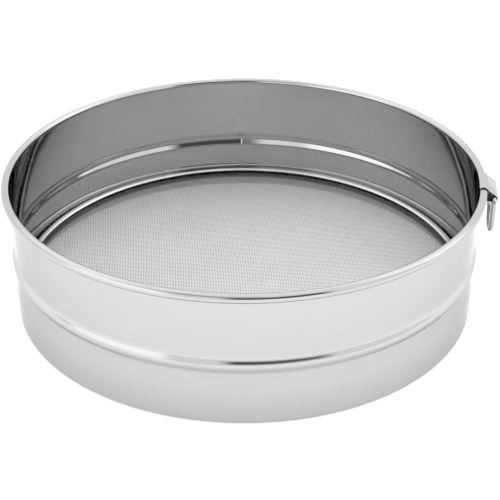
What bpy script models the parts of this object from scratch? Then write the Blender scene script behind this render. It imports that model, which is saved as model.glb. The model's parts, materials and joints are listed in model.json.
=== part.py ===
"""Soil sieve: a rolled steel hoop with a woven-wire floor and a hanging ring.

The hoop stands on its lower edge. Its upper edge is curled outward over a
wire, a bead is pressed outward round its middle, and its lower part is drawn
out a little to make the seat for the screen. The screen lies on an angle
ring and is held down by a clamping ring rolled from sheet to an open round
section. A bent strap at +X is welded to the wall under the rim and holds the
bar of a D-shaped hanging ring, which swings freely.

Metres, +Z up, the lower edge on Z = 0. The hoop's axis is vertical and
crosses the XY plane at (AXIS_X, 0), so that the bounding box of the whole
object is centred on the origin.
"""
import bpy
import bmesh
import math
from mathutils import Matrix, Vector

MM = 0.001

# ---------------------------------------------------------------- dimensions
# all in millimetres, radii measured from the hoop's axis
HEIGHT = 85.0                 # lower edge to the top of the rim curl
RIM_OUTER_R = 150.0           # outermost line of the rim curl
SHEET = 0.8                   # thickness of the hoop's sheet
GAP = 0.3                     # clearance between pieces that touch

CURL_OUTER = 2.7              # outer radius of the curled rim's section
CURL_START = 180.0            # angles round the curl's section, degrees
CURL_END = -120.0
RIM_WIRE_R = 1.5              # radius of the wire inside the curl

SKIRT_MID_R = 145.8           # mid-sheet radius of the lower, wider part
SKIRT_TOP = 15.0              # where the skirt starts to taper in
TAPER_TOP = 31.0              # where the taper meets the upper wall
BEAD_BOTTOM = 32.2
BEAD_CREST = 37.8
BEAD_TOP = 44.8               # the upper flank runs out softly into the wall
BEAD_RISE = 1.75              # how far the bead stands out of the wall

SEAT_INNER_R = 139.8          # angle ring below the screen
SEAT_OUTER_R = 145.1
SEAT_THICK = 1.0
SEAT_TOP = 8.1
SEAT_BOTTOM = 2.5

CLOTH_R = 145.0               # woven screen, shown as one thin disc
CLOTH_THICK = 0.8
CLOTH_BOTTOM = SEAT_TOP + GAP
CLOTH_TOP = CLOTH_BOTTOM + CLOTH_THICK

CLAMP_OUTER = 2.8             # outer radius of the clamping ring's rolled section
CLAMP_SHEET = 0.8             # thickness of the sheet it is rolled from
CLAMP_START = -90.0           # angles round the section, degrees: it stands on the
CLAMP_END = 150.0             # screen and stays open on its lower inner side
CLAMP_MID_R = 142.2
CLAMP_Z = CLOTH_TOP + GAP + CLAMP_OUTER

STRAP_WIDTH = 21.0
STRAP_THICK = 0.8
STRAP_INNER_END = 140.0       # where the strap starts on the curl, degrees
STRAP_TAB_BOTTOM = 66.0       # lower end of the tab on the wall
STRAP_BEND_R = 2.0            # mid-sheet radius of the bend above the tab

RING_WIRE_R = 1.5
RING_BAR_R = 153.6            # distance of the ring's bar from the hoop's axis
RING_BAR_Z = 78.4
RING_BAR_HALF = 10.9          # half the straight bar
RING_CORNER_R = 2.5
RING_ARM_Y = RING_BAR_HALF + RING_CORNER_R
RING_DROP = 25.0              # bar centre to the centre of the lowest wire

SEGMENTS = 72                 # facets round the hoop
SECTION = 10                  # facets round a wire

WALL_MID_R = RIM_OUTER_R - CURL_OUTER * 2.0 + SHEET / 2.0
CURL_C = (RIM_OUTER_R - CURL_OUTER, HEIGHT - CURL_OUTER)
CURL_MID = CURL_OUTER - SHEET / 2.0

STRAP_OVER_R = CURL_OUTER + GAP + STRAP_THICK / 2.0
STRAP_EYE_R = RING_WIRE_R + GAP + STRAP_THICK / 2.0
STRAP_TAB_R = WALL_MID_R + SHEET / 2.0 + GAP + STRAP_THICK / 2.0

# the object reaches RIM_OUTER_R on one side and the strap's eye on the other
STRAP_REACH = RING_BAR_R + STRAP_EYE_R + STRAP_THICK / 2.0
AXIS_X = (RIM_OUTER_R - STRAP_REACH) / 2.0


# ------------------------------------------------------------------- helpers
def clear_scene():
    for ob in list(bpy.data.objects):
        bpy.data.objects.remove(ob, do_unlink=True)


def steel(name, colour, roughness, metallic=1.0):
    mat = bpy.data.materials.new(name)
    mat.use_nodes = True
    bsdf = mat.node_tree.nodes["Principled BSDF"]
    bsdf.inputs["Base Color"].default_value = (colour[0], colour[1], colour[2], 1.0)
    bsdf.inputs["Roughness"].default_value = roughness
    bsdf.inputs["Metallic"].default_value = metallic
    mat.diffuse_color = (colour[0], colour[1], colour[2], 1.0)
    return mat


def arc(centre, radius, start, end, steps):
    """Points of an arc, angles in degrees, both ends included."""
    pts = []
    for i in range(steps + 1):
        a = math.radians(start + (end - start) * i / steps)
        pts.append((centre[0] + radius * math.cos(a),
                    centre[1] + radius * math.sin(a)))
    return pts


def unit_normals(path):
    """Unit normals of an open path in a plane, mitred at its corners."""
    out = []
    last = len(path) - 1
    for i, p in enumerate(path):
        dirs = []
        if i > 0:
            dirs.append((p[0] - path[i - 1][0], p[1] - path[i - 1][1]))
        if i < last:
            dirs.append((path[i + 1][0] - p[0], path[i + 1][1] - p[1]))
        ns = []
        for dx, dy in dirs:
            d = math.hypot(dx, dy)
            ns.append((dy / d, -dx / d))
        if len(ns) == 1:
            out.append(ns[0])
            continue
        sx, sy = ns[0][0] + ns[1][0], ns[0][1] + ns[1][1]
        s = math.hypot(sx, sy)
        sx, sy = sx / s, sy / s
        stretch = 1.0 / max(0.5, sx * ns[0][0] + sy * ns[0][1])
        out.append((sx * stretch, sy * stretch))
    return out


def finish(bm, name, mat, parent=None, origin=(0.0, 0.0, 0.0), sharp=35.0):
    """Turns a bmesh, in millimetres round the hoop's axis, into an object.

    The object's origin is put at the given point of the same frame.
    """
    bmesh.ops.recalc_face_normals(bm, faces=bm.faces)
    shift = Vector(origin)
    for v in bm.verts:
        v.co = (v.co - shift) * MM
    if bm.calc_volume(signed=True) < 0.0:
        bmesh.ops.reverse_faces(bm, faces=bm.faces)
    mesh = bpy.data.meshes.new(name)
    bm.to_mesh(mesh)
    bm.free()
    mesh.shade_smooth()
    mesh.set_sharp_from_angle(angle=math.radians(sharp))
    mesh.materials.append(mat)
    ob = bpy.data.objects.new(name, mesh)
    ob.location = ((shift.x + AXIS_X) * MM, shift.y * MM, shift.z * MM)
    bpy.context.scene.collection.objects.link(ob)
    if parent is not None:
        ob.parent = parent
        ob.matrix_parent_inverse = Matrix.Translation(parent.location).inverted()
    return ob


def turned(name, profile, mat, parent, sharp=35.0):
    """A closed section in (radius, height) turned round the hoop's axis."""
    bm = bmesh.new()
    rings = []
    for i in range(SEGMENTS):
        a = 2.0 * math.pi * i / SEGMENTS
        c, s = math.cos(a), math.sin(a)
        rings.append([bm.verts.new((r * c, r * s, z)) for r, z in profile])
    n = len(profile)
    for i in range(SEGMENTS):
        a, b = rings[i], rings[(i + 1) % SEGMENTS]
        for k in range(n):
            m = (k + 1) % n
            bm.faces.new((a[k], b[k], b[m], a[m]))
    return finish(bm, name, mat, parent, sharp=sharp)


# -------------------------------------------------------------------- pieces
def wall_midline():
    """Mid-sheet line of the hoop, from the lower edge to the curl's end."""
    line = [(SKIRT_MID_R, 0.0), (SKIRT_MID_R, SKIRT_TOP)]
    line.append((WALL_MID_R, TAPER_TOP))
    lower, upper = 5, 5
    for i in range(lower + upper + 1):
        if i <= lower:
            t, power = i / lower, 1.0
            z = BEAD_BOTTOM + (BEAD_CREST - BEAD_BOTTOM) * t
        else:
            t, power = (lower + upper - i) / upper, 1.7
            z = BEAD_TOP - (BEAD_TOP - BEAD_CREST) * t
        rise = BEAD_RISE * (0.5 * (1.0 - math.cos(math.pi * t))) ** power
        line.append((WALL_MID_R + rise, z))
    line.append((WALL_MID_R, 62.0))
    line += arc(CURL_C, CURL_MID, CURL_START, CURL_END, 15)
    return line


def build_drum_shell(mat, parent):
    mid = wall_midline()
    normals = unit_normals(mid)
    h = SHEET / 2.0
    outer = [(p[0] + n[0] * h, p[1] + n[1] * h) for p, n in zip(mid, normals)]
    inner = [(p[0] - n[0] * h, p[1] - n[1] * h) for p, n in zip(mid, normals)]
    return turned("drum_shell", outer + inner[::-1], mat, parent)


def build_rim_wire(mat, parent):
    section = arc(CURL_C, RIM_WIRE_R, 0.0, 360.0, 8)[:-1]
    return turned("rim_wire", section, mat, parent, sharp=60.0)


def build_seat_ring(mat, parent):
    t = SEAT_THICK
    section = [(SEAT_INNER_R, SEAT_TOP), (SEAT_INNER_R, SEAT_TOP - t),
               (SEAT_OUTER_R - t, SEAT_TOP - t), (SEAT_OUTER_R - t, SEAT_BOTTOM),
               (SEAT_OUTER_R, SEAT_BOTTOM), (SEAT_OUTER_R, SEAT_TOP)]
    return turned("screen_seat_ring", section, mat, parent)


def build_screen_cloth(mat, parent):
    bm = bmesh.new()
    bmesh.ops.create_cone(bm, cap_ends=True, cap_tris=False, segments=SEGMENTS,
                          radius1=CLOTH_R, radius2=CLOTH_R, depth=CLOTH_THICK)
    bmesh.ops.translate(bm, verts=bm.verts,
                        vec=(0.0, 0.0, CLOTH_BOTTOM + CLOTH_THICK / 2.0))
    return finish(bm, "screen_cloth", mat, parent)


def build_clamp_ring(mat, parent):
    centre = (CLAMP_MID_R, CLAMP_Z)
    outer = arc(centre, CLAMP_OUTER, CLAMP_START, CLAMP_END, 16)
    inner = arc(centre, CLAMP_OUTER - CLAMP_SHEET, CLAMP_START, CLAMP_END, 16)
    return turned("screen_clamp_ring", outer + inner[::-1], mat, parent)


def strap_midline():
    """Mid-sheet line of the strap and how much each point follows the hoop.

    It starts on the curl, passes over it, runs down to the ring's bar, turns
    round the bar, returns to the wall and ends in a tab lying on the wall.
    """
    bar = (RING_BAR_R, RING_BAR_Z)
    dx, dz = bar[0] - CURL_C[0], bar[1] - CURL_C[1]
    span = math.hypot(dx, dz)
    tangent = math.degrees(math.atan2(dz, dx) +
                           math.acos((STRAP_OVER_R - STRAP_EYE_R) / span))
    pts = [(p, 1.0) for p in arc(CURL_C, STRAP_OVER_R, STRAP_INNER_END, tangent, 6)]
    pts += [(p, 0.0) for p in arc(bar, STRAP_EYE_R, tangent, -90.0, 8)]
    bend_c = (STRAP_TAB_R + STRAP_BEND_R, RING_BAR_Z - STRAP_EYE_R - STRAP_BEND_R)
    pts += [(p, 1.0) for p in arc(bend_c, STRAP_BEND_R, 90.0, 180.0, 4)]
    pts.append(((STRAP_TAB_R, STRAP_TAB_BOTTOM), 1.0))
    return [p for p, _ in pts], [w for _, w in pts]


def build_hanger_strap(mat, parent):
    mid, follow = strap_midline()
    normals = unit_normals(mid)
    h = STRAP_THICK / 2.0
    cols = 6
    bm = bmesh.new()
    sides = []
    for sign in (1.0, -1.0):
        grid = []
        for p, n, w in zip(mid, normals, follow):
            row = []
            for j in range(cols + 1):
                y = -STRAP_WIDTH / 2.0 + STRAP_WIDTH * j / cols
                drop = w * (CURL_C[0] - math.sqrt(CURL_C[0] ** 2 - y * y))
                row.append(bm.verts.new((p[0] + sign * n[0] * h - drop, y,
                                         p[1] + sign * n[1] * h)))
            grid.append(row)
        sides.append(grid)
    a, b = sides
    rows = len(a)
    for i in range(rows - 1):
        for j in range(cols):
            bm.faces.new((a[i][j], a[i][j + 1], a[i + 1][j + 1], a[i + 1][j]))
            bm.faces.new((b[i][j], b[i + 1][j], b[i + 1][j + 1], b[i][j + 1]))
        for j in (0, cols):
            bm.faces.new((a[i][j], a[i + 1][j], b[i + 1][j], b[i][j]))
    for i in (0, rows - 1):
        for j in range(cols):
            bm.faces.new((a[i][j], b[i][j], b[i][j + 1], a[i][j + 1]))
    return finish(bm, "hanger_strap", mat, parent)


def ring_path():
    """Closed line of the hanging ring's wire, in (y, z) below its bar."""
    path = [(-RING_BAR_HALF + RING_BAR_HALF * i / 2.0, 0.0) for i in range(4)]
    path += arc((RING_BAR_HALF, -RING_CORNER_R), RING_CORNER_R, 90.0, 0.0, 4)
    centre = (0.0, -(RING_DROP - RING_ARM_Y))
    path += arc(centre, RING_ARM_Y, 0.0, -180.0, 18)
    path += arc((-RING_BAR_HALF, -RING_CORNER_R), RING_CORNER_R, 180.0, 90.0, 4)[:-1]
    return path


def build_hanging_ring(mat, parent):
    path = ring_path()
    n = len(path)
    sides = 8
    bm = bmesh.new()
    loops = []
    for i, p in enumerate(path):
        q, r = path[i - 1], path[(i + 1) % n]
        t = Vector((r[0] - q[0], r[1] - q[1])).normalized()
        side = Vector((t.y, -t.x))
        loop = []
        for k in range(sides):
            a = 2.0 * math.pi * (k + 0.5) / sides
            c, s = RING_WIRE_R * math.cos(a), RING_WIRE_R * math.sin(a)
            loop.append(bm.verts.new((RING_BAR_R + s,
                                      p[0] + side.x * c,
                                      RING_BAR_Z + p[1] + side.y * c)))
        loops.append(loop)
    for i in range(n):
        a, b = loops[i], loops[(i + 1) % n]
        for k in range(sides):
            m = (k + 1) % sides
            bm.faces.new((a[k], a[m], b[m], b[k]))
    return finish(bm, "hanging_ring", mat, parent,
                  origin=(RING_BAR_R, 0.0, RING_BAR_Z), sharp=60.0)


def main():
    clear_scene()
    root = bpy.data.objects.new("soil_sieve", None)
    root.location = (AXIS_X * MM, 0.0, 0.0)
    bpy.context.scene.collection.objects.link(root)

    drum = steel("drum_steel", (0.72, 0.72, 0.71), 0.24)
    wire = steel("rim_wire_steel", (0.55, 0.55, 0.54), 0.45)
    seat = steel("seat_ring_steel", (0.62, 0.62, 0.61), 0.35)
    cloth = steel("woven_wire_steel", (0.66, 0.66, 0.65), 0.40)
    clamp = steel("clamp_ring_steel", (0.80, 0.80, 0.79), 0.12)
    strap = steel("strap_steel", (0.74, 0.74, 0.73), 0.22)
    ring = steel("ring_steel", (0.80, 0.80, 0.79), 0.15)

    build_drum_shell(drum, root)
    build_rim_wire(wire, root)
    build_seat_ring(seat, root)
    build_screen_cloth(cloth, root)
    build_clamp_ring(clamp, root)
    build_hanger_strap(strap, root)
    build_hanging_ring(ring, root)


main()
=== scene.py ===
"""Looks of the soil sieve: polished and satin stainless steel, woven wire cloth."""

import bpy
import json
import math
import mathutils
import numpy as np
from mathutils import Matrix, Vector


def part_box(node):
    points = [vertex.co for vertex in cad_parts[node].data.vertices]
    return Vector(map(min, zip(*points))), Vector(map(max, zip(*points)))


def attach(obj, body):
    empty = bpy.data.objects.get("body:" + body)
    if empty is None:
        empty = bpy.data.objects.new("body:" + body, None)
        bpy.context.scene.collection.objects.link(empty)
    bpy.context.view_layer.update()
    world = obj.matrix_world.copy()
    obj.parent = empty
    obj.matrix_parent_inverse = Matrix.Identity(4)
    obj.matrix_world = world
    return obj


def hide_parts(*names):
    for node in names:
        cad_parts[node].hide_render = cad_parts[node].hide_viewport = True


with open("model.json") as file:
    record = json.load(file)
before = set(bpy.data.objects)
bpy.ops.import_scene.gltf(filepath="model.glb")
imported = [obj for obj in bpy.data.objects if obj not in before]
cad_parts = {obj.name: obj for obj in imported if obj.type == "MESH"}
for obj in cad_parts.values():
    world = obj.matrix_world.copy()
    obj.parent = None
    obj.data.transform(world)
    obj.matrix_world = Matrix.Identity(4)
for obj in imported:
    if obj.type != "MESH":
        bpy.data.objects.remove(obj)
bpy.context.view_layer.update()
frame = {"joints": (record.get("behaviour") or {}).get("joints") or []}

MM = 0.001

# ------------------------------------------------------------ frame of reference
d_lo, d_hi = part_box("drum_shell")
AX = 0.5 * (d_lo[0] + d_hi[0])             # the drum's axis
RIM_R = 0.5 * (d_hi[0] - d_lo[0]) / MM     # mm
HEIGHT = d_hi[2] / MM
c_lo, c_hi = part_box("screen_cloth")
CLOTH_R = 0.5 * (c_hi[0] - c_lo[0]) / MM
CLOTH_Z = 0.5 * (c_lo[2] + c_hi[2]) / MM
k_lo, k_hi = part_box("screen_clamp_ring")
CLAMP_OUT = 0.5 * (k_hi[0] - k_lo[0]) / MM
CLAMP_R = 2.8
CLAMP_MID = CLAMP_OUT - CLAMP_R
CLAMP_Z = 0.5 * (k_lo[2] + k_hi[2]) / MM
s_lo, s_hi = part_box("screen_seat_ring")
SEAT_OUT = 0.5 * (s_hi[0] - s_lo[0]) / MM
SEAT_TOP = s_hi[2] / MM
SEAT_BOTTOM = s_lo[2] / MM
t_lo, t_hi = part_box("hanger_strap")
g_lo, g_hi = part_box("hanging_ring")
hinge = frame["joints"][0]
BAR_R = (hinge["pos_m"][0] - AX) / MM
BAR_Z = hinge["pos_m"][2] / MM
RING_WIRE = 1.5
RING_W = 0.5 * (g_hi[1] - g_lo[1]) / MM - RING_WIRE
RING_DROP = BAR_Z - (g_lo[2] / MM + RING_WIRE)

CAM_AZ = 7.0          # the camera stands this far round from the front, towards +X
WEAVE_AZ = CAM_AZ + 3.5
SEAM_AZ = 90.0 + CAM_AZ + 1.0

SHEET = 0.8
WALL = RIM_R - 5.4 + 0.4          # mid-sheet radius of the upper wall
SKIRT = WALL + 0.8


# ------------------------------------------------------------------ mesh helpers
def make_object(name, verts, faces, mat, smooth=True, sharp=None):
    """verts in mm round the drum's axis."""
    mesh = bpy.data.meshes.new(name)
    v = np.asarray(verts, dtype=np.float64) * MM
    v[:, 0] += AX
    mesh.vertices.add(len(v))
    mesh.vertices.foreach_set("co", v.astype(np.float32).ravel())
    faces = np.asarray(faces, dtype=np.int32)
    n, k = faces.shape
    mesh.loops.add(n * k)
    mesh.loops.foreach_set("vertex_index", faces.ravel())
    mesh.polygons.add(n)
    mesh.polygons.foreach_set("loop_start", np.arange(0, n * k, k, dtype=np.int32))
    mesh.polygons.foreach_set("loop_total", np.full(n, k, dtype=np.int32))
    mesh.update(calc_edges=True)
    mesh.validate()
    mesh.shade_smooth()
    if sharp is not None:
        mesh.set_sharp_from_angle(angle=math.radians(sharp))
    mesh.materials.append(mat)
    ob = bpy.data.objects.new(name, mesh)
    bpy.context.scene.collection.objects.link(ob)
    return ob


def grid_faces(rows, cols, close_rows, close_cols, flip=False):
    """Quads of a rows x cols vertex grid, row-major."""
    ri = np.arange(rows if close_rows else rows - 1)
    ci = np.arange(cols if close_cols else cols - 1)
    r, c = np.meshgrid(ri, ci, indexing="ij")
    r2, c2 = (r + 1) % rows, (c + 1) % cols
    a, b = r * cols + c, r2 * cols + c
    d, e = r2 * cols + c2, r * cols + c2
    q = np.stack([a, b, d, e], axis=-1).reshape(-1, 4)
    return q[:, ::-1] if flip else q


def arc(centre, radius, start, end, steps):
    a = np.radians(np.linspace(start, end, steps + 1))
    return np.stack([centre[0] + radius * np.cos(a), centre[1] + radius * np.sin(a)], axis=1)


def offset(path, dist):
    """The path moved sideways by dist, to the right of its direction."""
    p = np.asarray(path, float)
    t = np.gradient(p, axis=0)
    t /= np.linalg.norm(t, axis=1)[:, None]
    return p + dist * np.stack([t[:, 1], -t[:, 0]], axis=1)


def resample(path, step):
    """Points about step apart along a polyline, its ends kept."""
    p = np.asarray(path, float)
    s = np.concatenate([[0.0], np.cumsum(np.linalg.norm(np.diff(p, axis=0), axis=1))])
    n = max(2, int(round(s[-1] / step)) + 1)
    u = np.linspace(0.0, s[-1], n)
    return np.stack([np.interp(u, s, p[:, 0]), np.interp(u, s, p[:, 1])], axis=1)


def lathe(name, profile, angles, mat, bend=None, sharp=None):
    """A closed (radius, z) profile, clockwise seen with radius to the right, turned
    round the axis. bend(theta, r, z) returns changed (r, z)."""
    prof = np.asarray(profile, float)
    th = np.asarray(angles, float)
    T, K = np.meshgrid(th, np.arange(len(prof)), indexing="ij")
    r, z = prof[K, 0], prof[K, 1]
    if bend is not None:
        r, z = bend(T, r, z)
    verts = np.stack([r * np.cos(T), r * np.sin(T), z], axis=-1).reshape(-1, 3)
    faces = grid_faces(len(th), len(prof), True, True)
    ob = make_object(name, verts, faces, mat, sharp=sharp)
    return outward(ob)


def outward(ob):
    """Turns the faces out, judged by the signed volume."""
    m = ob.data
    n = len(m.vertices)
    co = np.empty(n * 3, np.float32)
    m.vertices.foreach_get("co", co)
    co = co.reshape(-1, 3).astype(float)
    m.calc_loop_triangles()
    t = np.empty(len(m.loop_triangles) * 3, np.int32)
    m.loop_triangles.foreach_get("vertices", t)
    t = t.reshape(-1, 3)
    vol = np.einsum("ij,ij->i", co[t[:, 0]], np.cross(co[t[:, 1]], co[t[:, 2]])).sum()
    if vol < 0:
        m.flip_normals()
    return ob


# -------------------------------------------------------------------- materials
EDGE = 0.78           # steel keeps little of the usual brightening at grazing angles


def new_mat(name):
    m = bpy.data.materials.new(name)
    m.use_nodes = True
    nt = m.node_tree
    bsdf = nt.nodes["Principled BSDF"]
    bsdf.inputs["Metallic"].default_value = 1.0
    bsdf.inputs["Specular Tint"].default_value = (EDGE, EDGE, EDGE, 1.0)
    return m, nt, bsdf


def node(nt, kind, **values):
    n = nt.nodes.new(kind)
    for k, v in values.items():
        setattr(n, k, v)
    return n


def ramp(nt, fac, lo, hi, c0, c1):
    r = node(nt, "ShaderNodeMapRange")
    r.inputs["From Min"].default_value = lo
    r.inputs["From Max"].default_value = hi
    r.inputs["To Min"].default_value = c0
    r.inputs["To Max"].default_value = c1
    nt.links.new(fac, r.inputs["Value"])
    return r.outputs["Result"]


def math_node(nt, op, a, b=None, c=None):
    m = node(nt, "ShaderNodeMath", operation=op)
    for i, v in enumerate((a, b, c)):
        if v is None:
            continue
        if isinstance(v, (int, float)):
            m.inputs[i].default_value = v
        else:
            nt.links.new(v, m.inputs[i])
    return m.outputs[0]


def axis_coords(nt):
    """Cylindrical coordinates round the drum's axis from the object coordinates:
    angle in radians, radius and height in metres."""
    tc = node(nt, "ShaderNodeTexCoord")
    sep = node(nt, "ShaderNodeSeparateXYZ")
    nt.links.new(tc.outputs["Object"], sep.inputs[0])
    x = math_node(nt, "SUBTRACT", sep.outputs[0], AX)
    y = sep.outputs[1]
    ang = math_node(nt, "ARCTAN2", y, x)
    return x, y, sep.outputs[2], ang


def noise(nt, vec, scale, detail=2.0, rough=0.5, dist=0.0):
    n = node(nt, "ShaderNodeTexNoise")
    n.inputs["Scale"].default_value = scale
    n.inputs["Detail"].default_value = detail
    n.inputs["Roughness"].default_value = rough
    n.inputs["Distortion"].default_value = dist
    if vec is not None:
        nt.links.new(vec, n.inputs["Vector"])
    return n.outputs["Fac"]


def combine(nt, x, y, z):
    c = node(nt, "ShaderNodeCombineXYZ")
    for i, v in enumerate((x, y, z)):
        if isinstance(v, (int, float)):
            c.inputs[i].default_value = v
        else:
            nt.links.new(v, c.inputs[i])
    return c.outputs[0]


def mix_colour(nt, fac, a, b):
    m = node(nt, "ShaderNodeMix", data_type="RGBA")
    if isinstance(fac, (int, float)):
        m.inputs[0].default_value = fac
    else:
        nt.links.new(fac, m.inputs[0])
    for i, v in ((6, a), (7, b)):
        if isinstance(v, tuple):
            m.inputs[i].default_value = (*v, 1.0)
        else:
            nt.links.new(v, m.inputs[i])
    return m.outputs[2]


def bump(nt, height, strength, distance, normal=None):
    b = node(nt, "ShaderNodeBump")
    b.inputs["Strength"].default_value = strength
    b.inputs["Distance"].default_value = distance
    nt.links.new(height, b.inputs["Height"])
    if normal is not None:
        nt.links.new(normal, b.inputs["Normal"])
    return b.outputs[0]


def sheet_steel(name, base, rough, grain_along=True):
    """Rolled stainless sheet bent to a hoop: the rolling grain runs round it."""
    m, nt, bsdf = new_mat(name)
    x, y, z, ang = axis_coords(nt)
    arc_len = math_node(nt, "MULTIPLY", ang, 0.145)
    # fine grain: long along the arc, short across it
    gv = combine(nt, math_node(nt, "MULTIPLY", arc_len, 14.0), math_node(nt, "MULTIPLY", z, 2600.0), 0.0)
    grain = noise(nt, gv, 1.0, 3.0, 0.6)
    gv2 = combine(nt, math_node(nt, "MULTIPLY", arc_len, 40.0), math_node(nt, "MULTIPLY", z, 900.0), 3.7)
    grain2 = noise(nt, gv2, 1.0, 2.0, 0.5)
    cloud = noise(nt, combine(nt, math_node(nt, "MULTIPLY", arc_len, 9.0), math_node(nt, "MULTIPLY", z, 16.0), 1.3), 1.0, 3.0, 0.55)
    smear = noise(nt, combine(nt, math_node(nt, "MULTIPLY", arc_len, 60.0), math_node(nt, "MULTIPLY", z, 45.0), 8.1), 1.0, 4.0, 0.6, 0.4)
    mixg = math_node(nt, "ADD", math_node(nt, "MULTIPLY", grain, 0.6), math_node(nt, "MULTIPLY", grain2, 0.4))
    col_a = tuple(c * 0.955 for c in base)
    col_b = tuple(min(1.0, c * 1.04) for c in base)
    col = mix_colour(nt, ramp(nt, mixg, 0.3, 0.7, 0.0, 1.0), col_a, col_b)
    col = mix_colour(nt, ramp(nt, cloud, 0.35, 0.7, 0.0, 0.35), col, tuple(c * 0.93 for c in base))
    nt.links.new(col, bsdf.inputs["Base Color"])
    r = math_node(nt, "ADD", ramp(nt, mixg, 0.3, 0.7, rough * 0.8, rough * 1.25),
                  ramp(nt, smear, 0.45, 0.75, 0.0, rough * 0.45))
    nt.links.new(r, bsdf.inputs["Roughness"])
    # long soft undulation of the sheet plus the grain itself
    wob = noise(nt, combine(nt, math_node(nt, "MULTIPLY", arc_len, 24.0), math_node(nt, "MULTIPLY", z, 10.0), 5.5), 1.0, 2.0, 0.5)
    n1 = bump(nt, wob, 1.0, 0.00012)
    n2 = bump(nt, mixg, 0.35, 0.0000035, n1)
    nt.links.new(n2, bsdf.inputs["Normal"])
    return m


def strap_steel(name, base, rough):
    """The strap's strip: like the hoop outside, with painted shade, a dark duller colour, on its faces inside the loop
    round the bar and on its underside."""
    m = sheet_steel(name, base, rough)
    nt = m.node_tree
    bsdf = nt.nodes["Principled BSDF"]
    tc = node(nt, "ShaderNodeTexCoord")
    nsep = node(nt, "ShaderNodeSeparateXYZ")
    nt.links.new(tc.outputs["Normal"], nsep.inputs[0])
    psep = node(nt, "ShaderNodeSeparateXYZ")
    nt.links.new(tc.outputs["Object"], psep.inputs[0])
    nz, z = nsep.outputs[2], psep.outputs[2]
    # painted shade: faces inside the loop, facing up at the bottom of the eye or down above the bar, are coloured dark
    leg = math_node(nt, "MULTIPLY", ramp(nt, nz, 0.3, 0.6, 0.0, 1.0), ramp(nt, z, (BAR_Z - 1.5) * MM, (BAR_Z - 1.0) * MM, 1.0, 0.0))
    leg = math_node(nt, "MULTIPLY", leg, ramp(nt, z, (BAR_Z - 2.6) * MM, (BAR_Z - 2.3) * MM, 0.0, 1.0))
    under = math_node(nt, "MULTIPLY", ramp(nt, nz, -0.5, -0.2, 1.0, 0.0), ramp(nt, z, (BAR_Z + 0.4) * MM, (BAR_Z + 0.9) * MM, 0.0, 1.0))
    inner = math_node(nt, "MAXIMUM", leg, under)
    blotch = noise(nt, tc.outputs["Object"], 500.0, 3.0, 0.55)
    # dark colour of the painted shade inside the strap's loop, varied in blotches
    dull = mix_colour(nt, ramp(nt, blotch, 0.35, 0.65, 0.0, 1.0), (0.10, 0.097, 0.093), (0.19, 0.185, 0.178))
    old = bsdf.inputs["Base Color"].links[0].from_socket
    nt.links.new(mix_colour(nt, inner, old, dull), bsdf.inputs["Base Color"])
    old = bsdf.inputs["Roughness"].links[0].from_socket
    nt.links.new(math_node(nt, "ADD", old, math_node(nt, "MULTIPLY", inner, 0.25)), bsdf.inputs["Roughness"])
    return m


def rolled_steel(name, base, rough):
    """Polished sheet rolled to an open section; its inside is coloured dark as painted shade in the hollow of the roll,
    and made rougher."""
    m, nt, bsdf = new_mat(name)
    x, y, z, ang = axis_coords(nt)
    r = math_node(nt, "SQRT", math_node(nt, "ADD", math_node(nt, "MULTIPLY", x, x), math_node(nt, "MULTIPLY", y, y)))
    dr = math_node(nt, "SUBTRACT", r, CLAMP_MID * MM)
    dz = math_node(nt, "SUBTRACT", z, CLAMP_Z * MM)
    d = math_node(nt, "SQRT", math_node(nt, "ADD", math_node(nt, "MULTIPLY", dr, dr), math_node(nt, "MULTIPLY", dz, dz)))
    # painted shade: the inner face of the roll, within 2.25 mm of its centre, is coloured dark
    hollow_shade = ramp(nt, d, 0.00225, 0.00240, 1.0, 0.0)
    arc_len = math_node(nt, "MULTIPLY", ang, 0.142)
    tc = node(nt, "ShaderNodeTexCoord")
    blotch = noise(nt, tc.outputs["Object"], 160.0, 3.0, 0.55)
    lines = noise(nt, combine(nt, math_node(nt, "MULTIPLY", arc_len, 30.0), math_node(nt, "MULTIPLY", z, 4200.0), math_node(nt, "MULTIPLY", r, 4200.0)), 1.0, 2.0, 0.5)
    mixn = math_node(nt, "ADD", math_node(nt, "MULTIPLY", blotch, 0.5), math_node(nt, "MULTIPLY", lines, 0.5))
    bright = mix_colour(nt, ramp(nt, mixn, 0.35, 0.65, 0.0, 1.0), tuple(c * 0.94 for c in base), tuple(min(1, c * 1.03) for c in base))
    # dark colour of the painted shade inside the roll
    dull = mix_colour(nt, ramp(nt, blotch, 0.35, 0.65, 0.0, 1.0), (0.13, 0.125, 0.12), (0.22, 0.215, 0.205))
    nt.links.new(mix_colour(nt, hollow_shade, bright, dull), bsdf.inputs["Base Color"])
    rg = math_node(nt, "ADD", ramp(nt, mixn, 0.35, 0.7, rough * 0.75, rough * 1.4), math_node(nt, "MULTIPLY", hollow_shade, 0.22))
    nt.links.new(rg, bsdf.inputs["Roughness"])
    nt.links.new(bump(nt, mixn, 0.3, 0.000004), bsdf.inputs["Normal"])
    return m


def rod_steel(name, base, rough):
    """Drawn and polished round rod: faint draw lines and a few dull patches."""
    m, nt, bsdf = new_mat(name)
    x, y, z, ang = axis_coords(nt)
    tc = node(nt, "ShaderNodeTexCoord")
    n_big = noise(nt, tc.outputs["Object"], 140.0, 3.0, 0.5)
    n_fine = noise(nt, combine(nt, math_node(nt, "MULTIPLY", ang, 6.0), math_node(nt, "MULTIPLY", z, 5200.0), 0.0), 1.0, 2.0, 0.5)
    mixn = math_node(nt, "ADD", math_node(nt, "MULTIPLY", n_big, 0.55), math_node(nt, "MULTIPLY", n_fine, 0.45))
    col = mix_colour(nt, ramp(nt, mixn, 0.35, 0.65, 0.0, 1.0), tuple(c * 0.93 for c in base), tuple(min(1, c * 1.03) for c in base))
    nt.links.new(col, bsdf.inputs["Base Color"])
    nt.links.new(ramp(nt, mixn, 0.35, 0.7, rough * 0.75, rough * 1.4), bsdf.inputs["Roughness"])
    nt.links.new(bump(nt, mixn, 0.3, 0.000004), bsdf.inputs["Normal"])
    return m


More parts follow.
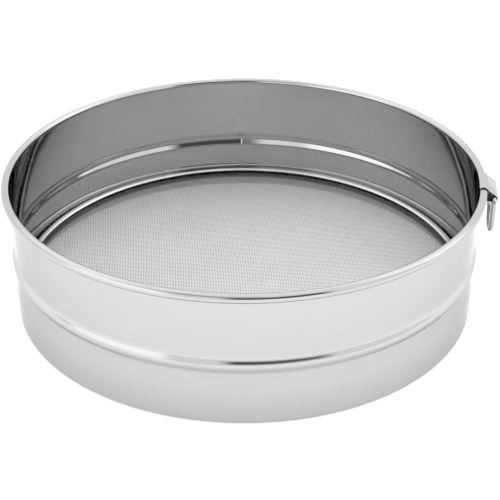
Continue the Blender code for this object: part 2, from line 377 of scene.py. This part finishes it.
def wire_steel(name, base, rough):
    """Small woven wires: each wire a little different, with small random duller patches."""
    m, nt, bsdf = new_mat(name)
    tc = node(nt, "ShaderNodeTexCoord")
    n1 = noise(nt, tc.outputs["Object"], 900.0, 2.0, 0.5)
    n2 = noise(nt, tc.outputs["Object"], 22.0, 2.0, 0.5)
    fac = math_node(nt, "ADD", math_node(nt, "MULTIPLY", n1, 0.6), math_node(nt, "MULTIPLY", n2, 0.4))
    col = mix_colour(nt, ramp(nt, fac, 0.35, 0.65, 0.0, 1.0), tuple(c * 0.88 for c in base), tuple(min(1, c * 1.06) for c in base))
    nt.links.new(col, bsdf.inputs["Base Color"])
    nt.links.new(ramp(nt, n1, 0.3, 0.7, rough * 0.8, rough * 1.3), bsdf.inputs["Roughness"])
    nt.links.new(bump(nt, n1, 0.12, 0.000006), bsdf.inputs["Normal"])
    return m


M_DRUM = sheet_steel("drum_sheet_steel", (0.50, 0.50, 0.496), 0.05)
M_CLAMP = rolled_steel("clamp_roll_steel", (0.58, 0.58, 0.576), 0.06)
# darker base colour than the other steel: painted shade for the seat ring lying in shadow under the cloth
M_SEAT = sheet_steel("seat_sheet_steel", (0.30, 0.30, 0.295), 0.30)
M_RIMWIRE = rod_steel("rim_core_steel", (0.50, 0.50, 0.49), 0.28)
M_CLOTH = wire_steel("woven_wire_steel", (0.60, 0.60, 0.595), 0.50)
M_STRAP = strap_steel("strap_sheet_steel", (0.52, 0.52, 0.516), 0.08)
M_RING = rod_steel("ring_wire_steel", (0.44, 0.44, 0.436), 0.11)


# ------------------------------------------------------------------------- drum
def drum_midline():
    """Mid-sheet line from the lower edge up to the end of the rim curl."""
    cc = (RIM_R - 2.7, HEIGHT - 2.7)
    z_a = np.linspace(0.0, 31.8, 25)
    # the skirt is drawn out a little and eases back in under the bead
    ease = 0.5 * (1.0 - np.cos(np.pi * np.clip((z_a - 13.0) / 18.0, 0.0, 1.0)))
    r_a = SKIRT - 0.8 * ease
    # pressed bead: its upper flank runs out softly into the wall
    z_b = np.concatenate([np.linspace(32.2, 37.8, 14)[:-1], np.linspace(37.8, 44.8, 18)])
    low = z_b < 37.8
    t = np.where(low, (z_b - 32.2) / 5.6, (44.8 - z_b) / 7.0)
    r_b = WALL + 1.75 * (0.5 * (1.0 - np.cos(np.pi * t))) ** np.where(low, 1.0, 1.7)
    z_c = np.linspace(45.8, cc[1] - 0.8, 11)
    r_c = np.full_like(z_c, WALL)
    curl = arc(cc, 2.3, 180.0, -120.0, 25)
    return np.concatenate([np.stack([r_a, z_a], 1), np.stack([r_b, z_b], 1),
                           np.stack([r_c, z_c], 1), curl])


def drum_profile():
    mid = drum_midline()
    h = SHEET / 2.0
    outer, inner = offset(mid, h), offset(mid, -h)
    # rounded cut edges at both ends
    end_t = mid[-1] - mid[-2]
    end_t = end_t / np.linalg.norm(end_t)
    c, n = mid[-1], np.array([end_t[1], -end_t[0]])
    cap_end = [c + h * (math.cos(a) * n + math.sin(a) * 0.5 * end_t) for a in np.radians([30, 60, 90, 120, 150])]
    s = mid[0]
    r_e = 0.22
    low = [(s[0] - h, r_e), (s[0] - h + 0.07, 0.07), (s[0] - h + r_e, 0.0),
           (s[0] + h - r_e, 0.0), (s[0] + h - 0.07, 0.07), (s[0] + h, r_e)]
    return np.concatenate([np.array(low), outer[1:], np.array(cap_end), inner[:0:-1]])


def seam_angles(base, centre_deg, half_mm, step_mm):
    """Even angles with a finer band round the seam."""
    even = np.linspace(0.0, 2.0 * np.pi, base, endpoint=False)
    c = math.radians(centre_deg)
    half, step = half_mm / 145.0, step_mm / 145.0
    fine = np.arange(-half, half + step / 2, step) + c
    keep = np.abs((even - c + np.pi) % (2 * np.pi) - np.pi) > half + 0.6 * 2 * np.pi / base
    allang = np.concatenate([even[keep], fine % (2 * np.pi)])
    return np.sort(allang)


def drum_bend(th, r, z):
    """Small departures of a real rolled hoop: slightly out of round, flats and a raised line at the weld seam, the
    seam's peak larger across the bead."""
    d = th - math.radians(SEAM_AZ)
    d = (d + np.pi) % (2 * np.pi) - np.pi
    mm = d * 145.0
    body = np.clip((z - 2.0) / 8.0, 0.0, 1.0) * np.clip((79.0 - z) / 4.0, 0.0, 1.0)
    r = r + body * (0.05 * np.sin(3 * th + 0.7) + 0.04 * np.sin(7 * th + 2.1) + 0.025 * np.sin(13 * th + 0.3))
    # the sheet's two ends stayed flatter, so they meet in a slight peak at the seam
    in_bead = np.exp(-((z - 38.5) / 6.0) ** 2)
    r = r + body * (0.25 + 0.35 * in_bead) * np.exp(-np.abs(mm) / 8.0)
    # weld bead, on both sides of the sheet
    side = np.where(r > WALL, 1.0, -1.0)
    w = np.exp(-(mm / 0.55) ** 2)
    r = r + w * 0.09 * side * np.clip((80.0 - z) / 1.0, 0.0, 1.0)
    z = z + 0.0 * th
    return r, z


ANG = seam_angles(440, SEAM_AZ, 3.0, 0.15)
drum = lathe("drum_hoop", drum_profile(), ANG, M_DRUM, bend=drum_bend, sharp=50.0)
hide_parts("drum_shell")
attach(drum, "sieve")


# -------------------------------------------------------------- rings of the floor
def round_section(r0, z0, rad, n):
    a = np.linspace(0.0, 2 * np.pi, n, endpoint=False)
    return np.stack([r0 + rad * np.cos(a), z0 + rad * np.sin(a)], 1)


EVEN = np.linspace(0.0, 2 * np.pi, 480, endpoint=False)


CLAMP_SHEET = 0.8
CLAMP_FROM, CLAMP_TO = -90.0, 150.0      # angles round the rolled section


def clamp_section():
    """Sheet rolled to an open round section, its two cut edges eased."""
    c = (CLAMP_MID, CLAMP_Z)
    h, mid = CLAMP_SHEET / 2.0, CLAMP_R - CLAMP_SHEET / 2.0
    outer = arc(c, CLAMP_R, CLAMP_FROM, CLAMP_TO, 44)
    inner = arc(c, CLAMP_R - CLAMP_SHEET, CLAMP_TO, CLAMP_FROM, 36)

    def lip(at, way):
        a = math.radians(at)
        t = np.array([-math.sin(a), math.cos(a)]) * way
        n = np.array([math.cos(a), math.sin(a)])
        p = np.array(c) + mid * n
        return [p + h * (math.cos(u) * n * way + math.sin(u) * 0.45 * t) for u in np.radians([35, 65, 90, 115, 145])]
    pull = math.radians(2.0)
    head = lip(CLAMP_TO - math.degrees(pull), 1.0)
    foot = lip(CLAMP_FROM + math.degrees(pull), -1.0)
    return np.concatenate([outer[1:-1], head, inner[1:-1], foot])


def clamp_bend(th, r, z):
    d = (th - math.radians(SEAM_AZ + 24.0) + np.pi) % (2 * np.pi) - np.pi
    mm = d * CLAMP_MID
    g = np.exp(-(mm / 0.5) ** 2)
    rr, zz = r - CLAMP_MID, z - CLAMP_Z
    s = 1.0 - 0.05 * g                      # the butt joint where its ends meet
    lift = 0.018 * np.sin(5 * th + 1.0) + 0.012 * np.sin(11 * th)
    return CLAMP_MID + rr * s + 0.05 * np.sin(4 * th), CLAMP_Z + zz * s + lift


clamp = lathe("clamp_roll", clamp_section(), seam_angles(480, SEAM_AZ + 24.0, 1.8, 0.2), M_CLAMP,
              bend=clamp_bend, sharp=60.0)
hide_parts("screen_clamp_ring")
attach(clamp, "sieve")

rim_core = lathe("rim_core_wire", round_section(RIM_R - 2.7, HEIGHT - 2.7, 1.5, 16), EVEN[::2], M_RIMWIRE)
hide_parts("rim_wire")
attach(rim_core, "sieve")


def seat_profile():
    """Angle ring with a bend radius at its corner."""
    t = 1.0
    mid = [(139.8, SEAT_TOP - t / 2), (SEAT_OUT - t / 2 - 1.0, SEAT_TOP - t / 2)]
    bend = arc((SEAT_OUT - t / 2 - 1.0, SEAT_TOP - t / 2 - 1.0), 1.0, 90.0, 0.0, 8)
    mid = np.concatenate([resample(mid, 0.8)[:-1], bend,
                          resample([(SEAT_OUT - t / 2, SEAT_TOP - t / 2 - 1.0), (SEAT_OUT - t / 2, SEAT_BOTTOM)], 0.8)[1:]])
    o, i = offset(mid, t / 2 - 0.0), offset(mid, -t / 2)
    return np.concatenate([o, i[::-1]])


seat = lathe("seat_angle_ring", seat_profile(), EVEN, M_SEAT, sharp=40.0)
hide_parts("screen_seat_ring")
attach(seat, "sieve")


# ------------------------------------------------------------------- woven cloth
PITCH = 1.732
WIRE_D = 0.36
SIDES = 6


def weave_point(u, v):
    """Where the crossing (u, v) of the loom lies, in mm: the cloth is turned a
    little and its wires bow slightly where it was pulled tight."""
    a = math.radians(WEAVE_AZ)
    bow = -0.00035 * (v - 4.0) ** 2 * 0.9
    skew = 0.00012 * u * np.abs(u) * 0.3
    x, y = u + bow, v + skew
    return x * math.cos(a) - y * math.sin(a), x * math.sin(a) + y * math.cos(a)


def woven(name, warp, part, parts):
    """One set of parallel wires. warp wires run along v, weft wires along u."""
    r_wire = WIRE_D / 2.0
    # the warp takes more of the crimp; the weft was beaten up straighter
    amp = r_wire * (1.40 if warp else 0.68)
    edge = CLOTH_R - 0.35
    count = int(math.ceil((edge + 8.0) / PITCH))
    verts, faces = [], []
    base = 0
    idx = [i for i in range(-count, count + 1)]
    idx = [i for k, i in enumerate(idx) if k * parts // len(idx) == part]
    ks = np.arange(-count - 6, count + 7)
    ang = np.linspace(0.0, 2 * np.pi, SIDES, endpoint=False)
    ca, sa = np.cos(ang), np.sin(ang)
    for i in idx:
        # each wire wanders a little in its reed
        wander = 0.035 * math.sin(i * 12.9898 + 1.0) + 0.02 * math.sin(i * 4.1414)
        if warp:
            x, y = weave_point(i * PITCH + wander, ks * PITCH)
        else:
            x, y = weave_point(ks * PITCH, i * PITCH + wander)
        x, y = np.broadcast_to(x, ks.shape), np.broadcast_to(y, ks.shape)
        up = np.where((i + ks) % 2 == 0, 1.0, -1.0) * (1.0 if warp else -1.0)
        rad = np.hypot(x, y)
        inside = np.nonzero(rad < edge)[0]
        if len(inside) < 3:
            continue
        a0, a1 = inside[0], inside[-1]
        pts = np.stack([x[a0:a1 + 1], y[a0:a1 + 1], CLOTH_Z + amp * up[a0:a1 + 1]], 1)

        # carry each end on to the cut edge of the cloth
        def stretch(p, q, zq):
            d = q[:2] - p[:2]
            bq = np.dot(p[:2], d)
            aq, cq = np.dot(d, d), np.dot(p[:2], p[:2]) - edge * edge
            t = (-bq + math.sqrt(max(0.0, bq * bq - aq * cq))) / aq
            t = min(1.0, max(0.0, t))
            return np.array([p[0] + d[0] * t, p[1] + d[1] * t, p[2] + (zq - p[2]) * t]), t
        head, t0 = stretch(pts[0], np.array([x[a0 - 1], y[a0 - 1]]), CLOTH_Z + amp * up[a0 - 1])
        tail, t1 = stretch(pts[-1], np.array([x[a1 + 1], y[a1 + 1]]), CLOTH_Z + amp * up[a1 + 1])
        if t0 > 0.1:
            pts = np.vstack([head, pts])
        if t1 > 0.1:
            pts = np.vstack([pts, tail])
        n = len(pts)
        tang = np.gradient(pts, axis=0)
        side = np.stack([tang[:, 1], -tang[:, 0], np.zeros(n)], 1)
        side /= np.linalg.norm(side, axis=1)[:, None]
        tv = tang / np.linalg.norm(tang, axis=1)[:, None]
        upv = np.cross(side, tv)
        ring = (pts[:, None, :] + r_wire * (ca[None, :, None] * side[:, None, :] + sa[None, :, None] * upv[:, None, :]))
        verts.append(ring.reshape(-1, 3))
        f = grid_faces(n, SIDES, False, True) + base
        faces.append(f)
        # close both ends with quads
        for row, rev in ((0, False), (n - 1, True)):
            s = base + row * SIDES
            caps = [[s, s + 1, s + 2, s + 3], [s, s + 3, s + 4, s + 5]]
            if rev:
                caps = [c[::-1] for c in caps]
            faces.append(np.array(caps))
        base += n * SIDES
    ob = make_object(name, np.concatenate(verts), np.concatenate(faces), M_CLOTH)
    return outward(ob)


PARTS = 2
for warp, label in ((True, "warp_wires"), (False, "weft_wires")):
    for part in range(PARTS):
        ob = woven(f"{label}_{'ab'[part]}", warp, part, PARTS)
        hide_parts("screen_cloth")
        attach(ob, "sieve")


# ------------------------------------------------------------------------ strap
STRAP_T = 0.8
STRAP_W = (t_hi[1] - t_lo[1]) / MM
CURL_C = (RIM_R - 2.7, HEIGHT - 2.7)
OVER_R = 2.7 + 0.3 + STRAP_T / 2
EYE_R = 1.5 + 0.3 + STRAP_T / 2
TAB_R = WALL + SHEET / 2 + 0.3 + STRAP_T / 2


def strap_mid():
    bar = (BAR_R, BAR_Z)
    dx, dz = bar[0] - CURL_C[0], bar[1] - CURL_C[1]
    tan = math.degrees(math.atan2(dz, dx) + math.acos((OVER_R - EYE_R) / math.hypot(dx, dz)))
    a1 = arc(CURL_C, OVER_R, 140.0, tan, 20)
    a2 = arc(bar, EYE_R, tan, -90.0, 30)
    line = resample([tuple(a1[-1]), tuple(a2[0])], 0.5)[1:-1]
    bend_c = (TAB_R + 2.0, BAR_Z - EYE_R - 2.0)
    leg = resample([tuple(a2[-1]), (bend_c[0], bend_c[1] + 2.0)], 0.5)[1:-1]
    a3 = arc(bend_c, 2.0, 90.0, 180.0, 12)
    tab = resample([tuple(a3[-1]), (TAB_R, t_lo[2] / MM)], 0.5)[1:]
    pts = np.concatenate([a1, line, a2, leg, a3, tab])
    w = np.concatenate([np.ones(len(a1)), np.linspace(1, 0, len(line) + 2)[1:-1], np.zeros(len(a2)),
                        np.linspace(0, 1, len(leg) + 2)[1:-1], np.ones(len(a3) + len(tab))])
    return pts, w


def build_strap():
    mid, follow = strap_mid()
    t = np.gradient(mid, axis=0)
    t /= np.linalg.norm(t, axis=1)[:, None]
    nrm = np.stack([t[:, 1], -t[:, 0]], 1)
    half_w, half_t, er = STRAP_W / 2, STRAP_T / 2, 0.25
    # section of the strip: flat with rounded long edges, as (across, through)
    ys = np.linspace(-half_w + er, half_w - er, 41)
    top = [(y, half_t) for y in ys]
    e = np.radians([67.5, 45.0, 22.5])
    right = [(half_w - er + er * math.cos(a), half_t - er + er * math.sin(a)) for a in e]
    right += [(half_w - er + er * math.cos(a), -(half_t - er) - er * math.sin(a)) for a in e[::-1]]
    bot = [(y, -half_t) for y in ys[::-1]]
    left = [(-y, -z) for y, z in right]
    sec = np.array(top + right + bot + left)
    nsec = len(sec)
    rows = []
    s_len = np.concatenate([[0], np.cumsum(np.linalg.norm(np.diff(mid, axis=0), axis=1))])
    total = s_len[-1]
    for k in range(len(mid)):
        # corners of the tab and of the inner end are rounded off in plan
        end_d = min(s_len[k], total - s_len[k])
        rc = 1.6
        shrink = rc - math.sqrt(max(0.0, rc * rc - (rc - end_d) ** 2)) if end_d < rc else 0.0
        thin = 1.0 if end_d > 0.15 else 0.75
        y = sec[:, 0] * (half_w - shrink) / half_w
        drop = follow[k] * (CURL_C[0] - np.sqrt(CURL_C[0] ** 2 - y * y))
        # two spot welds on the tab: shallow round dents on its outer face
        dent = np.zeros_like(y)
        if mid[k][1] < BAR_Z - EYE_R - 2.2 and abs(mid[k][0] - TAB_R) < 0.6:
            for yc in (-5.0, 5.0):
                d = np.hypot(y - yc, mid[k][1] - 69.6)
                dent += -0.16 * np.exp(-(d / 1.15) ** 4) + 0.05 * np.exp(-((d - 1.75) / 0.4) ** 2)
            dent *= (sec[:, 1] > 0)
        off = sec[:, 1] * thin + dent
        px = mid[k][0] + nrm[k][0] * off - drop
        pz = mid[k][1] + nrm[k][1] * off
        rows.append(np.stack([px, y, pz], 1))
    n = len(rows)
    verts = np.concatenate(rows)
    faces = [grid_faces(n, nsec, False, True)]
    caps = []
    # flat ends, as strips of quads from the top side to the bottom side
    m = len(ys)
    for row, rev in ((0, False), (n - 1, True)):
        s = row * nsec
        for j in range(m - 1):
            top_a, top_b = s + j, s + j + 1
            bot_a, bot_b = s + m + 6 + (m - 1 - j), s + m + 6 + (m - 2 - j)
            q = [top_a, top_b, bot_b, bot_a]
            caps.append(q[::-1] if rev else q)
        r0 = s + m
        q1 = [s + m - 1, r0, r0 + 5, s + m + 6]
        q2 = [r0, r0 + 1, r0 + 4, r0 + 5]
        q3 = [r0 + 1, r0 + 2, r0 + 3, r0 + 4]
        l0 = s + 2 * m + 6
        p1 = [s + 2 * m + 5, l0, l0 + 5, s]
        p2 = [l0, l0 + 1, l0 + 4, l0 + 5]
        p3 = [l0 + 1, l0 + 2, l0 + 3, l0 + 4]
        for q in (q1, q2, q3, p1, p2, p3):
            caps.append(q[::-1] if rev else q)
    faces.append(np.array(caps))
    ob = make_object("strap_strip", verts, np.concatenate(faces), M_STRAP, sharp=45.0)
    return outward(ob)


strap = build_strap()
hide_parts("hanger_strap")
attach(strap, "sieve")


# ----------------------------------------------------------------- hanging ring
def ring_line():
    """Closed centre line, (y, z) from the bar, a D with a straight bar."""
    cr = 2.5
    half = RING_W - cr
    bar = resample([(-half, 0.0), (half, 0.0)], 0.8)[:-1]
    c1 = arc((half, -cr), cr, 90.0, 0.0, 10)
    drop = -(RING_DROP - RING_W)
    arm1 = resample([(RING_W, -cr), (RING_W, drop)], 0.8)[1:-1]
    bow = arc((0.0, drop), RING_W, 0.0, -180.0, 60)
    arm2 = resample([(-RING_W, drop), (-RING_W, -cr)], 0.8)[1:-1]
    c2 = arc((-half, -cr), cr, 180.0, 90.0, 10)[:-1]
    return np.concatenate([bar, c1, arm1, bow, arm2, c2])


def build_ring():
    line = ring_line()
    n, sides = len(line), 24
    t = np.roll(line, -1, 0) - np.roll(line, 1, 0)
    t /= np.linalg.norm(t, axis=1)[:, None]
    side = np.stack([t[:, 1], -t[:, 0]], 1)
    a = np.linspace(0, 2 * np.pi, sides, endpoint=False)
    s = np.arange(n)
    # butt weld of the wire at the middle of the bow: a faint bulge
    mid_bow = np.argmin(line[:, 1])
    r = 1.5 * (1.0 + 0.035 * np.exp(-((s - mid_bow) / 1.2) ** 2))
    verts = np.stack([
        BAR_R + r[:, None] * np.sin(a)[None, :],
        line[:, 0][:, None] + side[:, 0][:, None] * r[:, None] * np.cos(a)[None, :],
        BAR_Z + line[:, 1][:, None] + side[:, 1][:, None] * r[:, None] * np.cos(a)[None, :]], -1)
    ob = make_object("ring_wire_d", verts.reshape(-1, 3), grid_faces(n, sides, True, True), M_RING)
    return outward(ob)


ring = build_ring()
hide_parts("hanging_ring")
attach(ring, "ring")


# ------------------------------------------------------------------------- stage
def floor_material():
    m = bpy.data.materials.new("pale_floor")
    m.use_nodes = True
    b = m.node_tree.nodes["Principled BSDF"]
    b.inputs["Base Color"].default_value = (0.86, 0.86, 0.86, 1.0)
    b.inputs["Roughness"].default_value = 0.9
    b.inputs["Emission Color"].default_value = (1.0, 1.0, 1.0, 1.0)      # the floor glows white, evenly outside the screen
    # painted shade: the glow is weaker on the ground under the screen, standing in for its shadow
    nt = m.node_tree
    tc = node(nt, "ShaderNodeTexCoord")
    away = node(nt, "ShaderNodeVectorMath", operation="DISTANCE")
    away.inputs[1].default_value = (AX, 0.0, 0.0)
    nt.links.new(tc.outputs["Object"], away.inputs[0])
    nt.links.new(ramp(nt, away.outputs["Value"], 0.136, 0.150, 0.16, 0.34), b.inputs["Emission Strength"])
    b.inputs["Specular IOR Level"].default_value = 0.1
    return m


fm = bpy.data.meshes.new("floor")
S = 6.0
fm.from_pydata([(-S, -S, 0), (S, -S, 0), (S, S, 0), (-S, S, 0)], [], [(0, 1, 2, 3)])
fm.materials.append(floor_material())
floor = bpy.data.objects.new("floor", fm)
floor.location = (0.0, 0.0, -0.0002)
bpy.context.scene.collection.objects.link(floor)


def world_light():
    """A white studio: bright panels at the left, the right and high at the back, a
    darker gap in front where the camera stands. Seen directly it is plain white."""
    w = bpy.data.worlds.new("studio")
    bpy.context.scene.world = w
    w.use_nodes = True
    nt = w.node_tree
    nt.nodes.clear()
    tc = node(nt, "ShaderNodeTexCoord")
    sep = node(nt, "ShaderNodeSeparateXYZ")
    nt.links.new(tc.outputs["Generated"], sep.inputs[0])
    az = math_node(nt, "ARCTAN2", sep.outputs[1], sep.outputs[0])
    el = math_node(nt, "ARCSINE", sep.outputs[2])

    def smooth(value, lo, hi):
        r = node(nt, "ShaderNodeMapRange", interpolation_type="SMOOTHSTEP")
        r.inputs["From Min"].default_value = math.radians(lo)
        r.inputs["From Max"].default_value = math.radians(hi)
        nt.links.new(value, r.inputs["Value"])
        return r.outputs["Result"]

    def patch(centre, half, soft, el_lo, el_hi, soft_el):
        d = math_node(nt, "SUBTRACT", az, math.radians(centre + CAM_AZ))
        d = math_node(nt, "ARCCOSINE", math_node(nt, "COSINE", d))
        inside = math_node(nt, "SUBTRACT", 1.0, smooth(d, half - soft, half + soft))
        up = smooth(el, el_lo - soft_el, el_lo + soft_el)
        down = math_node(nt, "SUBTRACT", 1.0, smooth(el, el_hi - soft_el, el_hi + soft_el))
        return math_node(nt, "MULTIPLY", math_node(nt, "MULTIPLY", inside, up), down)

    level = ramp(nt, el, 0.2, 1.4, BASE_LOW, BASE_HIGH)
    for centre, half, soft, lo, hi, soft_el, value in PANELS:
        wgt = patch(centre, half, soft, lo, hi, soft_el)
        m = node(nt, "ShaderNodeMix", data_type="FLOAT")
        nt.links.new(wgt, m.inputs[0])
        nt.links.new(level, m.inputs[2])
        m.inputs[3].default_value = value
        level = m.outputs[0]
    bg = node(nt, "ShaderNodeBackground")
    nt.links.new(level, bg.inputs["Strength"])
    bg.inputs["Color"].default_value = (1.0, 1.0, 1.0, 1.0)
    plain = node(nt, "ShaderNodeBackground")
    plain.inputs["Color"].default_value = (1.0, 1.0, 1.0, 1.0)
    plain.inputs["Strength"].default_value = 1.05
    lp = node(nt, "ShaderNodeLightPath")
    mix = node(nt, "ShaderNodeMixShader")
    nt.links.new(lp.outputs["Is Camera Ray"], mix.inputs[0])
    nt.links.new(bg.outputs[0], mix.inputs[1])
    nt.links.new(plain.outputs[0], mix.inputs[2])
    out = node(nt, "ShaderNodeOutputWorld")
    nt.links.new(mix.outputs[0], out.inputs[0])


# centre azimuth, half width, softness, lowest and highest elevation, softness, level
BASE_LOW, BASE_HIGH = 1.24, 1.34
PANELS = [
    (90.0, 95.0, 8.0, 33.0, 62.0, 6.0, 1.64),
    (-148.0, 24.0, 5.0, -20.0, 38.0, 8.0, 1.85),
    (15.0, 17.0, 5.0, 10.0, 60.0, 5.0, 1.90),
    (-108.0, 32.0, 8.0, 40.0, 68.0, 8.0, 0.62),
    (-62.0, 14.0, 6.0, 36.0, 54.0, 6.0, 0.60),
    (-75.0, 23.0, 5.0, 10.0, 42.0, 5.0, 0.11),
]
world_light()


def soft_light(name, where, size, watts):
    """A large soft light for the ground and the cloth; the polished steel mirrors the
    studio instead."""
    d = bpy.data.lights.new(name, "AREA")
    d.shape = "DISK"
    d.size = size
    d.energy = watts
    ob = bpy.data.objects.new(name, d)
    ob.location = where
    ob.rotation_euler = (mathutils.Vector(where) - mathutils.Vector((AX, 0.0, 0.0))).to_track_quat("Z", "Y").to_euler()
    ob.visible_glossy = False
    ob.visible_camera = False
    bpy.context.scene.collection.objects.link(ob)
    return ob


soft_light("overhead", (AX + 0.05, 0.08, 1.25), 1.3, 2.9)


# ------------------------------------------------------------------------ camera
cam_data = bpy.data.cameras.new("camera")
cam_data.sensor_width = 36.0
cam_data.lens = 1191.018 * 36.0 / 500.0
cam_data.shift_x = 0.0114
cam_data.clip_start = 0.01
cam_data.clip_end = 50.0
cam = bpy.data.objects.new("camera", cam_data)
ca = math.radians(-90.0 + CAM_AZ)
cam.location = (AX + 0.6673 * math.cos(ca), 0.6673 * math.sin(ca), 0.4145)
cam.rotation_euler = (math.radians(90.0 - 30.229), 0.0, math.radians(CAM_AZ))
bpy.context.scene.collection.objects.link(cam)
bpy.context.scene.camera = cam

bpy.context.scene.view_settings.view_transform = "Standard"
